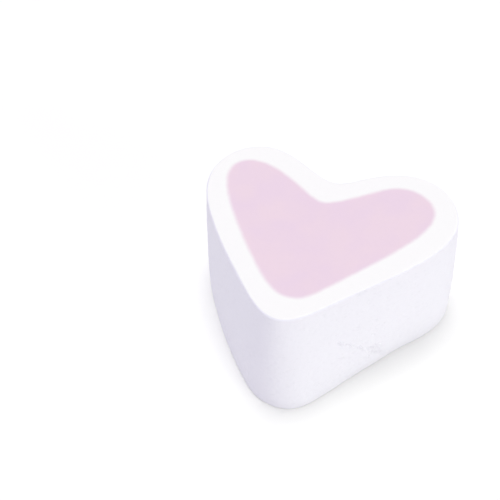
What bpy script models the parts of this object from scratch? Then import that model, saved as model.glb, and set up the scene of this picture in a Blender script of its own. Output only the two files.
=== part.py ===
"""Heart-shaped, two-colour marshmallow: a white shell round a pink core.

The real sweet is a rope of soft foam, squeezed through a heart-shaped nozzle with the pink
foam inside the white, and cut across into thick slices.  So both colours run right through
it, the two cut faces are flat, and the outer skin is soft and a little uneven.

The model stands on one cut face.  +Z is up, +Y runs from the tip of the heart to its cleft,
+X is towards the right lobe, and the origin is under the middle of the outline's box.
"""
import math

import bmesh
import bpy
import numpy as np
from mathutils import Vector
from mathutils.geometry import interpolate_bezier

# ---- driving dimensions, in millimetres ------------------------------------------------------

HEIGHT = 20.5           # between the two cut faces
TOP_ROUND = 0.7         # radius of the edge round the upper cut face
FOOT_ROUND = 0.8        # radius of the edge that it stands on, pressed a little softer
BULGE = 0.25            # how far the wall swells out halfway up
SEAM = 0.3              # gap that the two foams keep between them
CORE_FOLLOW = 0.5       # share of the wall's lean, from top to foot, that the core takes too

# Each outline runs anticlockwise through the same twelve places, and a smooth curve joins
# them.  The halves differ, as soft foam does.  The foot is drawn in under the right flank
# and stands out a little under the left one.
OUTER_TOP = (
    (-1.2, -17.0),                                                      # tip
    (2.5, -15.1), (9.2, -7.9), (19.0, 6.1), (13.6, 16.5), (4.6, 15.0),  # up the right half
    (0.0, 12.2),                                                        # cleft
    (-4.8, 14.0), (-13.5, 16.9), (-19.2, 7.0), (-10.5, -8.6), (-4.7, -15.4),    # down the left
)
OUTER_FOOT = (
    (-1.9, -16.6),
    (3.0, -14.6), (9.4, -5.6), (18.8, 8.2), (13.6, 16.5), (4.6, 15.0),
    (0.0, 12.2),
    (-4.8, 14.0), (-13.5, 16.9), (-19.2, 7.0), (-9.8, -9.6), (-5.2, -15.1),
)
COLOUR_LINE = (
    (-0.7, -12.5),
    (2.0, -11.3), (7.7, -4.4), (15.4, 7.9), (10.8, 13.9), (4.7, 11.1),
    (-0.3, 7.7),
    (-4.1, 9.0), (-12.3, 13.4), (-16.5, 8.2), (-8.5, -5.8), (-3.3, -11.7),
)

# ---- fineness of the solids ------------------------------------------------------------------

OUTLINE_POINTS = 144    # equal steps round an outline
CURVE_STEPS = 24        # fine steps between two places, which the equal steps are read from
ROUND_STEPS = 4         # runs over each rounded edge
WALL_STEPS = 6          # runs up the wall between the rounded edges
SHARP_ANGLE = 35        # degrees; flatter edges are shaded smooth

MM = 0.001


# ---- outlines --------------------------------------------------------------------------------

def smooth_closed(places):
    """The smoothest closed curve through the places: its bend never jumps at one of them."""
    places = np.array(places)
    count = len(places)
    here = np.eye(count)
    evenness = 4 * here + np.roll(here, 1, axis=0) + np.roll(here, -1, axis=0)
    chords = np.roll(places, -1, axis=0) - np.roll(places, 1, axis=0)
    handles = np.linalg.solve(evenness, chords)
    curve = [Vector(places[0])]
    for index in range(count):
        after = (index + 1) % count
        start, end = Vector(places[index]), Vector(places[after])
        leave, arrive = Vector(handles[index]), Vector(handles[after])
        curve += interpolate_bezier(start, start + leave, end - arrive, end, CURVE_STEPS + 1)[1:]
    return equal_steps(np.array(curve))


def equal_steps(curve):
    """Points at equal steps along a closed curve, from where it starts."""
    runs = np.linalg.norm(np.diff(curve, axis=0), axis=1)
    travelled = np.concatenate(([0.0], np.cumsum(runs)))
    stops = np.arange(OUTLINE_POINTS) * travelled[-1] / OUTLINE_POINTS
    return [Vector(point) for point in zip(*(np.interp(stops, travelled, axis) for axis in curve.T))]


def offset(points, distance):
    """An anticlockwise outline moved outwards by a distance."""
    moved = []
    for index, point in enumerate(points):
        along = points[(index + 1) % len(points)] - points[index - 1]
        moved.append(point + Vector((along.y, -along.x)).normalized() * distance)
    return moved


def section(top, foot, height, outset):
    """The outline at one height, between foot and top, moved outwards by outset."""
    between = [low.lerp(high, height / HEIGHT) for high, low in zip(top, foot)]
    return [Vector((*point, height)) for point in offset(between, outset)]


def wall_profile():
    """Height and outset up the outer wall: foot edge, swelling wall, top edge."""
    profile = []
    for step in range(ROUND_STEPS):
        angle = math.pi / 2 * step / ROUND_STEPS
        profile.append((FOOT_ROUND * (1 - math.cos(angle)), FOOT_ROUND * (math.sin(angle) - 1)))
    low, high = FOOT_ROUND, HEIGHT - TOP_ROUND
    for step in range(WALL_STEPS):
        share = step / WALL_STEPS
        profile.append((low + (high - low) * share, BULGE * math.sin(math.pi * share)))
    for step in range(ROUND_STEPS + 1):
        angle = math.pi / 2 * step / ROUND_STEPS
        profile.append((high + TOP_ROUND * math.sin(angle), TOP_ROUND * (math.cos(angle) - 1)))
    return profile


# ---- solids ----------------------------------------------------------------------------------

def add_loop(bm, points, centre):
    """A closed loop of edges through the points, which are in millimetres."""
    verts = [bm.verts.new((point - centre) * MM) for point in points]
    return [bm.edges.new((verts[index - 1], verts[index])) for index in range(len(verts))]


def bridge(bm, loops):
    """Skin each loop to the next one."""
    for one, other in zip(loops, loops[1:]):
        bmesh.ops.bridge_loops(bm, edges=one + other)


def finish(bm, name, color, roughness):
    """Turn the faces out and make the named object with its own material."""
    bmesh.ops.recalc_face_normals(bm, faces=bm.faces)
    mesh = bpy.data.meshes.new(name)
    bm.to_mesh(mesh)
    bm.free()
    mesh.shade_smooth()
    mesh.set_sharp_from_angle(angle=math.radians(SHARP_ANGLE))
    material = bpy.data.materials.new(name)
    material.use_nodes = True
    shader = material.node_tree.nodes["Principled BSDF"]
    shader.inputs["Base Color"].default_value = color
    shader.inputs["Roughness"].default_value = roughness
    shader.inputs["Metallic"].default_value = 0.0
    mesh.materials.append(material)
    piece = bpy.data.objects.new(name, mesh)
    bpy.context.scene.collection.objects.link(piece)


def make_shell(skin, seam_top, seam_foot, centre):
    """The white foam: the outer skin, the hole for the core, and a flat ring at each end."""
    bm = bmesh.new()
    wall = [add_loop(bm, points, centre) for points in skin]
    hole = [add_loop(bm, section(seam_top, seam_foot, z, SEAM / 2), centre) for z in (0.0, HEIGHT)]
    bridge(bm, wall)
    bridge(bm, hole)
    for outer, inner in ((wall[0], hole[0]), (wall[-1], hole[-1])):
        bmesh.ops.triangle_fill(bm, edges=outer + inner, use_beauty=True)
    finish(bm, "white_shell", (0.93, 0.92, 0.95, 1.0), 0.85)


def make_core(seam_top, seam_foot, centre):
    """The pink foam, which fills the hole from one cut face to the other."""
    bm = bmesh.new()
    ends = [add_loop(bm, section(seam_top, seam_foot, z, -SEAM / 2), centre) for z in (0.0, HEIGHT)]
    bridge(bm, ends)
    bmesh.ops.holes_fill(bm, edges=bm.edges)
    finish(bm, "pink_core", (0.86, 0.67, 0.79, 1.0), 0.85)


# ---- the sweet -------------------------------------------------------------------------------

for old in list(bpy.data.objects):
    bpy.data.objects.remove(old)

lean = CORE_FOLLOW * (np.array(OUTER_FOOT) - np.array(OUTER_TOP))
outer_top, outer_foot = smooth_closed(OUTER_TOP), smooth_closed(OUTER_FOOT)
seam_top, seam_foot = smooth_closed(COLOUR_LINE), smooth_closed(COLOUR_LINE + lean)

skin = [section(outer_top, outer_foot, z, outset) for z, outset in wall_profile()]
everywhere = np.array([point for points in skin for point in points])
centre = Vector((everywhere.min(axis=0) + everywhere.max(axis=0)) / 2)
centre.z = 0.0

make_shell(skin, seam_top, seam_foot, centre)
make_core(seam_top, seam_foot, centre)
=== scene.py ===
# %% [markdown]
# # A heart-shaped marshmallow, white foam round pink
#
# The sweet is a slice of a foam rope. The rope leaves a heart-shaped nozzle with pink foam
# inside white foam, is dusted with starch, and is cut across. So it has two sorts of surface:
# the outer skin, which is powdery, pored and in places creased, and the two cut faces, which
# are flat and smooth and show both colours.
#
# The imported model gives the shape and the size. Here both foams get a fine surface that
# follows it, then their materials, a light and a camera.

import math
import random

import bmesh
import bpy
import numpy as np
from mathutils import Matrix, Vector, kdtree, noise


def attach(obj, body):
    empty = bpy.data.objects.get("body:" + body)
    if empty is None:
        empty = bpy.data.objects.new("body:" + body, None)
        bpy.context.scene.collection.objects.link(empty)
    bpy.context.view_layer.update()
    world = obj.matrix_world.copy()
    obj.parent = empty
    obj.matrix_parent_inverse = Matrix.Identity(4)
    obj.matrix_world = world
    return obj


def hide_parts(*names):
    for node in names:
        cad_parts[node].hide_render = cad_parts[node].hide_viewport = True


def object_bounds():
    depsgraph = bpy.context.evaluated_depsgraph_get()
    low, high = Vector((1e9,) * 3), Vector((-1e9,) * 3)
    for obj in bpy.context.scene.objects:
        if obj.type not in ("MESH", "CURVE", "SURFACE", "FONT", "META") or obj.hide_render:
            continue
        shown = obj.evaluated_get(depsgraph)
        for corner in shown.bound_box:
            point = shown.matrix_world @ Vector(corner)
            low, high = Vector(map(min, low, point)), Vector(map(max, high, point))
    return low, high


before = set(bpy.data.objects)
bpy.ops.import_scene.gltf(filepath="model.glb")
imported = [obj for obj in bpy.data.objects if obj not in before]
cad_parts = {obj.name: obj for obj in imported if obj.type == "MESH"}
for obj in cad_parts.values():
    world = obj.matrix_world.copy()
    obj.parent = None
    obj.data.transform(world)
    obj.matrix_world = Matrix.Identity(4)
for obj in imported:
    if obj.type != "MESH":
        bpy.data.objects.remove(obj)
cad_low, cad_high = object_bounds()
MM = 0.001
HEIGHT = (cad_high.z - cad_low.z) / MM
print("CAD box, mm:", [round(side / MM, 2) for side in cad_high - cad_low])

# %% [markdown]
# ## Camera
#
# The sweet is seen from 46 degrees above, a little to the right of its tip, through a longish
# lens, so its upright edges hardly run together. The camera could be turned by three angles,
# but it is easier to say what it looks at: to_track_quat turns the direction to that point
# into a rotation. It looks at a point to the left and in front of the sweet, which so stands
# right of the middle of the picture.

# %% Camera
AZIMUTH, ELEVATION = math.radians(17), math.radians(46)
CAMERA_DISTANCE = 217.0
AIM = Vector((-8.57, -5.29, HEIGHT))


def direction(azimuth, elevation):
    """The level and upright angles, in radians, as a unit vector. Azimuth 0 is in front."""
    level = math.cos(elevation)
    return Vector((math.sin(azimuth) * level, -math.cos(azimuth) * level, math.sin(elevation)))


def look(thing, target, towards, distance):
    """Put a camera or light at a distance in mm from its target, facing it."""
    thing.location = (target + towards * distance) * MM
    thing.rotation_mode = "QUATERNION"
    thing.rotation_quaternion = (-towards).to_track_quat("-Z", "Y")
    bpy.context.scene.collection.objects.link(thing)


camera = bpy.data.objects.new("camera", bpy.data.cameras.new("camera"))
camera.data.lens = 108.0
camera.data.sensor_width = 36.0
look(camera, AIM, direction(AZIMUTH, ELEVATION), CAMERA_DISTANCE)
bpy.context.scene.camera = camera
print("camera at, mm:", [round(value / MM, 1) for value in camera.location])

# %% [markdown]
# ## Reading the outlines
#
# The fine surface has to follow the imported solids. A plane that cuts a solid leaves its
# outline, so bisect_plane slices a welded copy of each node at a few heights, and the cut
# edges are walked from end to end, which puts their points in order.

# %% Slice a node
WELD = 1e-6


def slice_node(name, height):
    """The closed outlines of a CAD node at a height, the widest first, all in mm."""
    bm = bmesh.new()
    bm.from_mesh(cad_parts[name].data)
    bmesh.ops.remove_doubles(bm, verts=bm.verts, dist=WELD)
    whole = bm.verts[:] + bm.edges[:] + bm.faces[:]
    cut = bmesh.ops.bisect_plane(bm, geom=whole, plane_co=(0, 0, height * MM), plane_no=(0, 0, 1))
    edges = {part for part in cut["geom_cut"] if isinstance(part, bmesh.types.BMEdge)}
    outlines = []
    while edges:
        walk = list(edges.pop().verts)
        onward = [edge for edge in walk[-1].link_edges if edge in edges]
        while onward:
            edges.remove(onward[0])
            walk.append(onward[0].other_vert(walk[-1]))
            onward = [edge for edge in walk[-1].link_edges if edge in edges]
        outlines.append(np.array([vert.co.xy for vert in walk[:-1]]) / MM)
    bm.free()
    return sorted(outlines, key=lambda outline: np.ptp(outline[:, 0]), reverse=True)


# %% [markdown]
# Every ring of the surface has the same number of points at equal steps, which start where
# the outline crosses the middle line at the tip, so rings can be joined point to point. The
# packed outline has short straight runs. A few passes that pull each point towards the middle
# of its neighbours round them off, and hardly move anything else.

# %% Even, smooth outlines
AROUND = 576
SOFTEN_PASSES = 14


def even_outline(outline):
    """AROUND points at equal steps, anticlockwise from the middle line at the tip."""
    x, y = outline.T
    if np.dot(x, np.roll(y, -1)) < np.dot(y, np.roll(x, -1)):
        outline = outline[::-1]
    x, y = outline.T
    after = np.roll(x, -1)
    start = np.flatnonzero((x < 0) & (after >= 0) & (y < 0))[0]
    share = -x[start] / (after[start] - x[start])
    onward = np.roll(outline, -start - 1, axis=0)
    first = outline[start] * (1 - share) + onward[0] * share
    closed = np.vstack([first, onward, first])
    travelled = np.append(0, np.cumsum(np.linalg.norm(np.diff(closed, axis=0), axis=1)))
    stops = np.arange(AROUND) * travelled[-1] / AROUND
    even = np.column_stack([np.interp(stops, travelled, axis) for axis in closed.T])
    for _ in range(SOFTEN_PASSES):
        even = even / 2 + (np.roll(even, 1, axis=0) + np.roll(even, -1, axis=0)) / 4
    return even


def outwards(ring):
    """The outward direction at each point of an anticlockwise ring."""
    along = np.roll(ring, -1, axis=0) - np.roll(ring, 1, axis=0)
    return np.column_stack([along[:, 1], -along[:, 0]]) / np.linalg.norm(along, axis=1)[:, None]


# %% [markdown]
# The sweet is drawn in a little towards its foot and bulges a little in between. Slices at
# three heights are enough to follow that: a parabola through them gives the outline at any
# height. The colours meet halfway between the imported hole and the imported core, which leaves
# no gap between the two foams.

# %% The wall and the line where the colours meet
EDGE = 1.2
LEVELS = (EDGE, HEIGHT / 2, HEIGHT - EDGE)
wall = [even_outline(slice_node("white_shell", level)[0]) for level in LEVELS]
hole = [even_outline(slice_node("white_shell", level)[1]) for level in LEVELS]
core = [even_outline(slice_node("pink_core", level)[0]) for level in LEVELS]
seam = [(outer + inner) / 2 for outer, inner in zip(hole, core)]
STEP = np.linalg.norm(wall[1] - np.roll(wall[1], 1, axis=0), axis=1).mean()
print("round the wall, mm:", round(STEP * AROUND, 1), "in steps of", round(STEP, 3))


def ring_at(slices, heights, outset):
    """A ring in space: the outline at its points' heights, moved outwards, all in mm."""
    heights = np.broadcast_to(heights, AROUND)
    at = heights[:, None]
    low, middle, high = LEVELS
    flat = (slices[0] * (at - middle) * (at - high) / ((low - middle) * (low - high))
            + slices[1] * (at - low) * (at - high) / ((middle - low) * (middle - high))
            + slices[2] * (at - low) * (at - middle) / ((high - low) * (high - middle)))
    flat = flat + outwards(flat) * np.broadcast_to(outset, AROUND)[:, None]
    return np.column_stack([flat, heights])


# %% [markdown]
# ## Growing a surface from a loop
#
# A wall could be one tall extrusion, cut into rows afterwards. But here each row is a slightly
# different heart, so the loop of edges is extruded row by row, and each new row is put where
# the outline says. The extrusion keeps count of which new point belongs to which old one.

# %% Loops and rows
def new_foam(ring):
    """A bmesh with one closed loop of edges, and room for two notes on each point."""
    bm = bmesh.new()
    bm.verts.layers.float.new("seam_mm")
    bm.verts.layers.float.new("skin")
    loop = [bm.verts.new(Vector(place) * MM) for place in ring]
    for index, vert in enumerate(loop):
        bm.edges.new((loop[index - 1], vert))
    return bm, loop


def loop_edges(bm, loop):
    return [bm.edges.get((loop[index - 1], vert)) for index, vert in enumerate(loop)]


def grow(bm, loop, ring):
    """Extrude a closed loop of edges and put its new points on the ring."""
    made = bmesh.ops.extrude_edge_only(bm, edges=loop_edges(bm, loop))["geom"]
    fresh = {part for part in made if isinstance(part, bmesh.types.BMVert)}
    grown = []
    for vert, place in zip(loop, ring):
        ends = [edge.other_vert(vert) for edge in vert.link_edges]
        grown.append(next(end for end in ends if end in fresh))
        grown[-1].co = Vector(place) * MM
    return grown


def add_piece(bm, name, replaced):
    """Make the piece from its bmesh, and hide the imported part that it replaces."""
    bmesh.ops.recalc_face_normals(bm, faces=bm.faces)
    mesh = bpy.data.meshes.new(name)
    bm.to_mesh(mesh)
    bm.free()
    mesh.shade_smooth()
    piece = bpy.data.objects.new(name, mesh)
    bpy.context.scene.collection.objects.link(piece)
    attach(piece, "root")
    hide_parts(replaced)
    mesh.calc_loop_triangles()
    print(name, "triangles:", len(mesh.loop_triangles))
    return piece


# %% [markdown]
# ## The white foam
#
# Soft foam doesn't set evenly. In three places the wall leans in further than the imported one,
# by up to four tenths of a millimetre: low on the front right flank, down the outside of the
# left lobe, and at the foot left of the tip.
#
# The knife leaves a crisp edge, about a quarter of a millimetre round, which wanders a little as
# the foam gave under the blade. The foot is crisper still, because the sweet stands on it. Rows
# lie closest where the colours meet and on the rounded edges, and about 0.2 mm apart on the
# wall, so that the wall can carry creases and pores as real dents. The last few rings line the
# hole, which nobody sees, and stay a twentieth of a millimetre clear of the pink foam.

# %% Where the wall leans in
LEANS = ((22.0, 4.0, 0.42, 1), (92.5, 7.0, 0.34, 4), (115.0, 3.5, 0.38, 1))
WALL_LENGTH = STEP * AROUND


def wall_at(heights, outset):
    """The outer wall with its leans: mm round from the tip, reach, depth, and upright shape."""
    rise = np.broadcast_to(heights, AROUND) / HEIGHT
    lean = np.zeros(AROUND)
    for middle, reach, depth, power in LEANS:
        away = np.arange(AROUND) * STEP - middle
        away = (away + WALL_LENGTH / 2) % WALL_LENGTH - WALL_LENGTH / 2
        lean += depth * np.exp(-(away / reach) ** 2) * (1 - rise ** power)
    return ring_at(wall, heights, outset - lean)


print("furthest lean, mm:", max(lean[2] for lean in LEANS))

# %% Rings from the colour line under the foot, up the wall, to the colour line on top
CUT_STEPS = (0.0, 0.08, 0.17, 0.27, 0.39, 0.54, 0.72, 0.95)
SPREAD = 8
ROUND_ROWS = 6
ROW = 0.22
FOOT_ROUND = 0.22


def top_round():
    """The radius of the knife's edge at each point round the sweet, in mm."""
    wander = np.array([noise.noise(Vector((x, y, 0)) / 4.0) for x, y in wall[2]])
    return 0.28 + 0.08 * wander


def cut_rings(height, rim):
    """Rings over a cut face, from the colour line outwards to the rim."""
    rings = [ring_at(seam, height, away) for away in CUT_STEPS]
    last = rings[-1]
    return rings + [last + (rim - last) * step / SPREAD for step in range(1, SPREAD)]


def wall_rings():
    """Rings up the wall, with its two rounded edges."""
    quarter = [math.pi / 2 * row / ROUND_ROWS for row in range(ROUND_ROWS + 1)]
    radius = top_round()
    rings = [wall_at(FOOT_ROUND * (1 - math.cos(turn)), -FOOT_ROUND * (1 - math.sin(turn)))
             for turn in quarter]
    rows = round((HEIGHT - FOOT_ROUND) / ROW)
    for row in range(1, rows):
        rings.append(wall_at(FOOT_ROUND + (HEIGHT - radius - FOOT_ROUND) * row / rows, 0))
    for turn in quarter:
        rings.append(wall_at(HEIGHT - radius * (1 - math.sin(turn)),
                             -radius * (1 - math.cos(turn))))
    return rings


GLUE_DEPTH, GLUE_GAP = 0.4, 0.05
upright = wall_rings()
rings = cut_rings(0.0, upright[0]) + upright + cut_rings(HEIGHT, upright[-1])[::-1]
rings += [ring_at(seam, level, GLUE_GAP) for level in (HEIGHT - GLUE_DEPTH, GLUE_DEPTH)]
white_bm, first = new_foam(rings[0])
last = first
for ring in rings[1:]:
    last = grow(white_bm, last, ring)
bmesh.ops.bridge_loops(white_bm, edges=loop_edges(white_bm, last) + loop_edges(white_bm, first))
bmesh.ops.recalc_face_normals(white_bm, faces=white_bm.faces)
print("rings:", len(rings), "faces:", len(white_bm.faces))

# %% [markdown]
# ## Creases, pores and a nick
#
# Foam shrinks as it dries, and under the starch its skin puckers here and there. One patch
# low on the front right flank has short creases, which trail off up towards the tip, and
# pores are scattered over the whole wall. They are real dents, so the mesh needs smaller
# faces there: subdivide_edges halves those of the patch.
#
# Each dent is a groove with a rounded bottom. It is given by where its middle is, as the
# distance round the wall from the tip and the height, by its tilt, and by how long, wide and
# deep it is. A dent with a depth below zero is a ridge. A crease is three grooves end to end,
# each with a low ridge under it, where the skin is pushed up and catches the light. Last, the
# knife caught the top edge above the creases and left a nick of two small bites.

# %% Finer faces where the creases are
PATCH_FROM, PATCH_TO = (8.0, 1.5), (19.5, 12.2)


def wall_place(along, height):
    """A point on the wall and its outward direction, from mm round from the tip and up."""
    index = round(along / STEP) % AROUND
    ring = wall_at(height, 0)
    return Vector(ring[index]), Vector((*outwards(ring[:, :2])[index], 0))


left_end = wall_place(*PATCH_FROM)[0]
right_end = wall_place(*PATCH_TO)[0]
fine = []
for face in white_bm.faces:
    middle = face.calc_center_median() / MM
    inside = left_end.x < middle.x < right_end.x and left_end.z < middle.z < right_end.z
    if inside and middle.y < right_end.y and face.normal.y < 0:
        fine.append(face)
fine_edges = list({edge for face in fine for edge in face.edges})
bmesh.ops.subdivide_edges(white_bm, edges=fine_edges, cuts=1, use_grid_fill=True)
print("finer faces:", len(fine) * 4, "of", len(white_bm.faces))

# %% Dents
random.seed(5)
DOWN_TO_THE_RIGHT = -57
dents = []


def add_dent(along, height, tilt, length, width, depth):
    """A groove across the wall, tilted by degrees from level, with its sizes in mm."""
    place, out = wall_place(along, height)
    level = Vector((-out.y, out.x, 0))
    run = level * math.cos(math.radians(tilt)) + Vector((0, 0, 1)) * math.sin(math.radians(tilt))
    dents.append((place, run, out.cross(run), length, width, depth))


def add_crease(along, height, tilt, length, width, depth):
    """Three short grooves end to end, which waver about one tilt, over three low ridges."""
    run, rise = math.cos(math.radians(tilt)), math.sin(math.radians(tilt))
    for third in (-length / 3, 0, length / 3):
        bend = tilt + random.uniform(-30, 30)
        deep = depth * random.uniform(0.7, 1.0)
        here = (along + third * run, height + third * rise)
        below = (here[0] + rise * width, here[1] - run * width)
        add_dent(*here, bend, length / 2.5, width * random.uniform(0.7, 1.0), deep)
        add_dent(*below, bend, length / 2.5, width, -0.4 * deep)


PLACED_CREASES = ((9.5, 10.9, 1.4), (11.5, 9.2, 1.1), (13.5, 7.2, 1.2), (15.8, 5.7, 1.5))
for along, height, length in PLACED_CREASES:
    add_crease(along, height, DOWN_TO_THE_RIGHT, length, 0.34, 0.2)
PLACED_PITS = ((10.5, 10.0), (14.9, 5.5), (16.4, 5.7), (15.8, 8.7), (15.8, 12.4), (12.3, 12.9),
               (17.8, 3.6))
for along, height in PLACED_PITS:
    add_dent(along, height, 0, 0.15, 0.34, 0.16)
for _ in range(30):
    along = random.gauss(16.7, 1.0)
    add_crease(along, random.gauss(4.3 - 0.7 * (along - 16.7), 0.55),
               DOWN_TO_THE_RIGHT + random.uniform(-40, 60),
               random.uniform(0.5, 1.1), random.uniform(0.26, 0.34), random.uniform(0.08, 0.18))
for _ in range(60):
    add_dent(random.gauss(14.0, 3.0), random.gauss(7.0, 2.4), random.uniform(-60, 30),
             random.uniform(0.2, 0.5), random.uniform(0.22, 0.32), random.uniform(0.04, 0.1))
for _ in range(600):
    add_dent(random.uniform(0, STEP * AROUND), random.uniform(0.8, HEIGHT - 0.8),
             random.uniform(-30, 30), random.uniform(0.1, 0.5),
             random.uniform(0.26, 0.4), random.uniform(0.03, 0.1))
for along, below in ((12.25, 0.42), (12.95, 0.36)):
    add_dent(along, HEIGHT - below, 20, 0.3, 0.42, 0.26)
print("dents:", len(dents))

# %% [markdown]
# Between them the skin isn't quite even either. It swells and sinks by a few hundredths of a
# millimetre over several millimetres, as the foam set, and has a grain of half a millimetre
# from its bubbles and the starch. The cut faces only swell and sink, in one sheet across both
# foams, so that no step shows where the colours meet.

# %% Uneven skin
SKIN_SWELL, SKIN_GRAIN, CUT_SWELL = 0.055, 0.016, 0.035
NEAR_CUT = 0.2


def skin_height(place):
    swell = noise.noise(place / 6.0)
    grain = noise.fractal(place / 0.75, 0.6, 2.1, 3)
    return SKIN_SWELL * swell + SKIN_GRAIN * grain


def cut_height(place):
    """The upper cut face swells and sinks. The lower one only sinks in from the table."""
    height = CUT_SWELL * noise.noise(place / 7.0) + 0.006 * noise.noise(place / 1.4)
    return height if place.z > HEIGHT / 2 else abs(height)


def dent_depths(places):
    """How deep each place lies in the strongest dent or ridge over it, in mm."""
    depths = np.zeros(len(places))
    for middle, run, across, length, width, depth in dents:
        away = places - np.array(middle)
        near = np.flatnonzero(np.abs(away).sum(axis=1) < length + 3 * width)
        along = np.maximum(np.abs(away[near] @ np.array(run)) - length / 2, 0)
        side = away[near] @ np.array(across)
        groove = depth * np.exp(-(along ** 2 + side ** 2) / (width / 2) ** 2)
        depths[near] = np.where(np.abs(groove) > np.abs(depths[near]), groove, depths[near])
    return depths


def roughen(bm):
    """Move the skin along its normals, and the cut faces up or down."""
    skin = bm.verts.layers.float["skin"]
    depths = dent_depths(np.array([vert.co for vert in bm.verts]) / MM)
    bm.normal_update()
    moves = []
    for vert, depth in zip(bm.verts, depths):
        place = vert.co / MM
        hidden = vert[skin] == 0 and NEAR_CUT < place.z < HEIGHT - NEAR_CUT
        move = vert.normal * vert[skin] * (skin_height(place) - depth)
        move.z += (1 - vert[skin]) * cut_height(place)
        moves.append(move * MM * (not hidden))
    for vert, move in zip(bm.verts, moves):
        vert.co += move
    print("deepest dent, mm:", round(depths.max(), 2))


# %% [markdown]
# ## Notes for the materials
#
# Two things about each point are worth writing down while they are known, because the
# materials need them: how far it is from the line where the colours meet, and how far it
# belongs to the skin. They are kept as attributes of the points, so they stay with the mesh.
# The distance counts outwards, so it is below zero in the pink foam. Skin is what stands
# steeply and is over a millimetre from that line, which leaves out the side of the core.

# %% Attributes
SKIN_FROM, SKIN_TO = 0.99, 0.8
seam_points = np.vstack([ring_at(seam, 0.0, 0), ring_at(seam, HEIGHT, 0)])
seam_tree = kdtree.KDTree(len(seam_points))
for index, place in enumerate(seam_points):
    seam_tree.insert(place, index)
seam_tree.balance()


def note_places(bm, side):
    """Write the distance from the colour line, times the side, and the share of skin."""
    seam_mm = bm.verts.layers.float["seam_mm"]
    skin = bm.verts.layers.float["skin"]
    bm.normal_update()
    for vert in bm.verts:
        away = seam_tree.find(vert.co / MM)[2]
        slope = (SKIN_FROM - abs(vert.normal.z)) / (SKIN_FROM - SKIN_TO)
        vert[seam_mm] = away * side
        vert[skin] = min(max(slope, 0.0), 1.0) if away > CUT_STEPS[-1] else 0.0
    for edge in bm.edges:
        edge.smooth = max(abs(vert[seam_mm]) for vert in edge.verts) > 0.01


# %% The finished white foam
note_places(white_bm, 1)
roughen(white_bm)
white_foam = add_piece(white_bm, "white_foam", "white_shell")

# %% [markdown]
# ## The pink foam
#
# The core runs right through, so it has the same cut face above and below. From the colour
# line its rings first keep their distance, as in the white foam, and then shrink towards the
# middle, where the last one is merged to a point. Its side is hidden inside the white foam
# and stays plain. A twentieth of a millimetre between the two keeps their faces apart.

# %% The finished pink foam
INNER_RINGS = 22


def core_face(height):
    """Rings over a cut face of the core, from the colour line to near its middle."""
    rings = [ring_at(seam, height, -away) for away in CUT_STEPS]
    rim = rings[-1]
    middle = rim.mean(axis=0)
    return rings + [rim + (middle - rim) * row / INNER_RINGS for row in range(1, INNER_RINGS)]


side = [ring_at(seam, level, -GLUE_GAP) for level in (GLUE_DEPTH, HEIGHT - GLUE_DEPTH)]
rings = core_face(0.0)[::-1] + side + core_face(HEIGHT)
pink_bm, first = new_foam(rings[0])
last = first
for ring in rings[1:]:
    last = grow(pink_bm, last, ring)
for loop in (first, last):
    middle = sum((vert.co for vert in loop), Vector()) / AROUND
    bmesh.ops.pointmerge(pink_bm, verts=loop, merge_co=middle)
bmesh.ops.recalc_face_normals(pink_bm, faces=pink_bm.faces)
note_places(pink_bm, -1)
roughen(pink_bm)
pink_foam = add_piece(pink_bm, "pink_foam", "pink_core")

# %% [markdown]
# ## Materials
#
# Marshmallow is a fine foam of sugar, glucose syrup and gelatine, whipped, pressed through a
# nozzle, dusted and cut. Both foams are the same stuff, one with some red dye, which has crept
# about a third of a millimetre into the white along the line where they meet.
#
# Light that enters such a foam comes out again about a tenth of a millimetre away, which is
# less than the eye can see here. Subsurface scattering could do that, but it stops where one
# closed piece ends and would draw a dark line between the two colours. So the foam is a plain
# matte surface, and its softness comes from the pale colours and the light.

# %% Helpers for materials
def shade(code):
    """An sRGB hex colour as the linear values that a shader wants."""
    values = [int(code[place:place + 2], 16) / 255 for place in (1, 3, 5)]
    return [v / 12.92 if v <= 0.04045 else ((v + 0.055) / 1.055) ** 2.4 for v in values] + [1.0]


def add_node(tree, kind, settings, inputs):
    """Add a node, set it up, and give each input a value or another node's output."""
    made = tree.nodes.new(kind)
    for name, value in settings.items():
        setattr(made, name, value)
    for name, value in inputs.items():
        if isinstance(value, bpy.types.NodeSocket):
            tree.links.new(value, made.inputs[name])
        else:
            made.inputs[name].default_value = value
    return made


def empty_material(name):
    material = bpy.data.materials.new(name)
    material.use_nodes = True
    material.node_tree.nodes.clear()
    return material, material.node_tree


# %% [markdown]
# Whipped gelatine foam is full of bubbles from a twentieth to a fifth of a millimetre, so it
# has no gloss at all: the eye gets a chalky, even surface, with a roughness near 0.9 and the
# IOR of thick sugar syrup. The skin is painted a little darker and bluer than the cut faces:
# painted shade, so that the upright sides read as shaded under the light from above. Six
# patterns vary the colours, each on Object coordinates in metres, so a noise's scale is how
# many bumps it has in a metre, and PER_MM turns it to bumps in a millimetre.

# %% Aerated foam, cut with a knife and dusted with starch
# The skin colour is painted shade: the upright skin is drawn darker and bluer than the cut white.
WHITE_CUT, WHITE_SKIN_PAINTED_SHADE = "#F9F9F4", "#EDEBF3"
PINK, DEEPER_PINK = "#ECD7DF", "#EAD5E0"
WHITE_FADES_AT, PINK_FADES_AT = 0.40, -0.54
PER_MM = 1000.0


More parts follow.
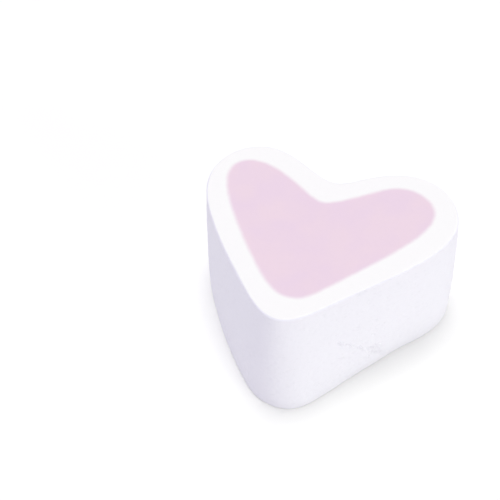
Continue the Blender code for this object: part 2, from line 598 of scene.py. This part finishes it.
def foam_material(name):
    """White or pink by the distance from the colour line, with a powdery, pored skin."""
    material, tree = empty_material(name)
    place = add_node(tree, "ShaderNodeTexCoord", {}, {}).outputs["Object"]
    skin = add_node(tree, "ShaderNodeAttribute", {"attribute_name": "skin"}, {}).outputs["Fac"]
    seam_mm = add_node(tree, "ShaderNodeAttribute", {"attribute_name": "seam_mm"}, {}).outputs["Fac"]

    # The dye creeps further in one place than in the next, which is about a millimetre away.
    creep = add_node(tree, "ShaderNodeTexNoise", {},
                     {"Vector": place, "Scale": 0.9 * PER_MM, "Detail": 2.0, "Roughness": 0.5})
    wander = add_node(tree, "ShaderNodeMath", {"operation": "MULTIPLY_ADD"},
                      {0: creep.outputs["Fac"], 1: 0.24, 2: -0.12})
    uneven = add_node(tree, "ShaderNodeMath", {"operation": "ADD"},
                      {0: seam_mm, 1: wander.outputs["Value"]})
    whiteness = add_node(tree, "ShaderNodeMapRange", {"interpolation_type": "SMOOTHSTEP"},
                         {"Value": uneven.outputs["Value"], "From Min": PINK_FADES_AT,
                          "From Max": WHITE_FADES_AT})

    # The dye was whipped in unevenly, in very faint clouds four or five millimetres wide.
    mottle = add_node(tree, "ShaderNodeTexNoise", {},
                      {"Vector": place, "Scale": 0.22 * PER_MM, "Detail": 1.0})
    dye = add_node(tree, "ShaderNodeMapRange", {},
                   {"Value": mottle.outputs["Fac"], "From Min": 0.35, "From Max": 0.65})
    pink = add_node(tree, "ShaderNodeMix", {"data_type": "RGBA"},
                    {"Factor": dye.outputs["Result"], "A": shade(PINK), "B": shade(DEEPER_PINK)})
    # Painted shade: where the surface is skin, the white turns to the darker, bluer skin colour.
    white = add_node(tree, "ShaderNodeMix", {"data_type": "RGBA"},
                     {"Factor": skin, "A": shade(WHITE_CUT), "B": shade(WHITE_SKIN_PAINTED_SHADE)})
    base = add_node(tree, "ShaderNodeMix", {"data_type": "RGBA"},
                    {"Factor": whiteness.outputs["Result"], "A": pink.outputs["Result"],
                     "B": white.outputs["Result"]})

    # Bubbles that burst at the skin leave pits of 0.1 to 0.2 mm, wider than tall, because the
    # rope was pressed and rolled. They are drawn three times as coarse, so that they show, as
    # dents and as painted shade in their hollows.
    level = add_node(tree, "ShaderNodeMapping", {}, {"Vector": place, "Scale": (1.0, 1.0, 2.2)})
    spots = add_node(tree, "ShaderNodeTexNoise", {},
                     {"Vector": level.outputs["Vector"], "Scale": 1.5 * PER_MM, "Detail": 3.0,
                      "Roughness": 0.6})
    pits = add_node(tree, "ShaderNodeMapRange", {"interpolation_type": "SMOOTHSTEP"},
                    {"Value": spots.outputs["Fac"], "From Min": 0.56, "From Max": 0.70})
    skin_pits = add_node(tree, "ShaderNodeMath", {"operation": "MULTIPLY"},
                         {0: pits.outputs["Result"], 1: skin})
    # A starch grain is only 0.015 mm wide. What the eye sees is where it lies thicker, in
    # clumps of about half a millimetre, so those are drawn, and their finer octaves.
    dust = add_node(tree, "ShaderNodeTexNoise", {},
                    {"Vector": place, "Scale": 1.6 * PER_MM, "Detail": 4.0, "Roughness": 0.65})
    dusted = add_node(tree, "ShaderNodeMapRange", {},
                      {"Value": dust.outputs["Fac"], "From Min": 0.3, "From Max": 0.7,
                       "To Min": 0.988, "To Max": 1.0})
    # The pits are painted 3 percent darker, as painted shade in their hollows. The starch clumps vary
    # the tone a little at random.
    pit_shade_and_starch = add_node(tree, "ShaderNodeMath", {"operation": "MULTIPLY_ADD"},
                    {0: skin_pits.outputs["Value"], 1: -0.03, 2: dusted.outputs["Result"]})
    colour = add_node(tree, "ShaderNodeVectorMath", {"operation": "SCALE"},
                      {"Vector": base.outputs["Result"], "Scale": pit_shade_and_starch.outputs["Value"]})

    # The bubbles just under the surface are 0.1 mm, drawn as coarse as 0.3 mm to show. The knife
    # smeared them shut, so the relief is weak on the cut faces and stronger on the skin.
    grain = add_node(tree, "ShaderNodeTexNoise", {},
                     {"Vector": place, "Scale": 3.2 * PER_MM, "Detail": 3.0, "Roughness": 0.6})
    height = add_node(tree, "ShaderNodeMath", {"operation": "MULTIPLY_ADD"},
                      {0: skin_pits.outputs["Value"], 1: -1.2, 2: grain.outputs["Fac"]})
    relief = add_node(tree, "ShaderNodeMapRange", {},
                      {"Value": skin, "To Min": 0.07, "To Max": 0.45})
    bump = add_node(tree, "ShaderNodeBump", {},
                    {"Strength": relief.outputs["Result"], "Distance": 0.03 * MM,
                     "Height": height.outputs["Value"]})
    foam = add_node(tree, "ShaderNodeBsdfPrincipled", {},
                    {"Base Color": colour.outputs["Vector"], "Roughness": 0.88, "IOR": 1.38,
                     "Normal": bump.outputs["Normal"]})
    add_node(tree, "ShaderNodeOutputMaterial", {}, {"Surface": foam.outputs["BSDF"]})
    return material


white_foam.data.materials.append(foam_material("starch_dusted_white_foam"))
pink_foam.data.materials.append(foam_material("starch_dusted_pink_foam"))

# %% [markdown]
# ## Floor and light
#
# The sweet stands on a smooth white table in a bright, soft studio. The light comes from all
# round, a little bluish, with a large lamp high up behind it to the left, which throws the
# short soft shadow at its lower right, and a second one low at the front right, which
# brightens that flank and hardly reaches the table. Lamps near the sweet would light the far
# table less than the near, so both are suns, made 26 degrees wide to keep the shadows soft.
# The room is white where it meets the table, like a paper sweep, so no horizon shows from a low
# angle.

# %% Floor
FLOOR_SIZE = 20.0
TABLE_GLOW = 0.030
floor_bm = bmesh.new()
bmesh.ops.create_grid(floor_bm, x_segments=1, y_segments=1, size=FLOOR_SIZE / 2)
floor_mesh = bpy.data.meshes.new("floor")
floor_bm.to_mesh(floor_mesh)
floor_bm.free()
floor = bpy.data.objects.new("floor", floor_mesh)
bpy.context.scene.collection.objects.link(floor)
# Melamine-faced board with a matt coat, which looks white, even and nearly without gloss.
material, tree = empty_material("matte_melamine_table")
board = add_node(tree, "ShaderNodeBsdfPrincipled", {},
                 {"Base Color": shade("#FDFEF8"), "Roughness": 0.95, "Specular IOR Level": 0.2,
                  "Emission Color": shade("#FFFFFF"), "Emission Strength": TABLE_GLOW})
add_node(tree, "ShaderNodeOutputMaterial", {}, {"Surface": board.outputs["BSDF"]})
floor_mesh.materials.append(material)

# %% Light
ROOM_LIGHT, TOP_LIGHT, SIDE_LIGHT = 0.637, 1.345, 0.875
LAMP_WIDTH = 26
SWEEP_RISE, SWEEP_LIGHT = 0.15, 1.05
ROOM_COLOUR, TOP_COLOUR, SIDE_COLOUR = "#F2EEFF", "#FEFFFC", "#F7FFE5"


def add_lamp(name, towards, strength, colour):
    """A far, wide lamp that lights the whole table evenly. LAMP_WIDTH is in degrees."""
    lamp = bpy.data.objects.new(name, bpy.data.lights.new(name, "SUN"))
    lamp.data.angle = math.radians(LAMP_WIDTH)
    lamp.data.energy = strength
    lamp.data.color = shade(colour)[:3]
    look(lamp, Vector((0, 0, HEIGHT / 2)), towards, CAMERA_DISTANCE)


world = bpy.data.worlds.new("room")
world.use_nodes = True
tree = world.node_tree
tree.nodes.clear()
towards = add_node(tree, "ShaderNodeTexCoord", {}, {}).outputs["Generated"]
rise = add_node(tree, "ShaderNodeSeparateXYZ", {}, {"Vector": towards}).outputs["Z"]
above = add_node(tree, "ShaderNodeMapRange", {"interpolation_type": "SMOOTHSTEP"},
                 {"Value": rise, "From Min": 0.0, "From Max": SWEEP_RISE})
colour = add_node(tree, "ShaderNodeMix", {"data_type": "RGBA"},
                  {"Factor": above.outputs["Result"], "A": shade("#FFFFFF"), "B": shade(ROOM_COLOUR)})
strength = add_node(tree, "ShaderNodeMapRange", {},
                    {"Value": above.outputs["Result"], "To Min": SWEEP_LIGHT, "To Max": ROOM_LIGHT})
room = add_node(tree, "ShaderNodeBackground", {},
                {"Color": colour.outputs["Result"], "Strength": strength.outputs["Result"]})
add_node(tree, "ShaderNodeOutputWorld", {}, {"Surface": room.outputs["Background"]})
bpy.context.scene.world = world
add_lamp("top_lamp", direction(math.radians(232), math.radians(85)), TOP_LIGHT, TOP_COLOUR)
add_lamp("side_lamp", direction(math.radians(62), math.radians(10)), SIDE_LIGHT, SIDE_COLOUR)
bpy.context.scene.view_settings.view_transform = "Standard"
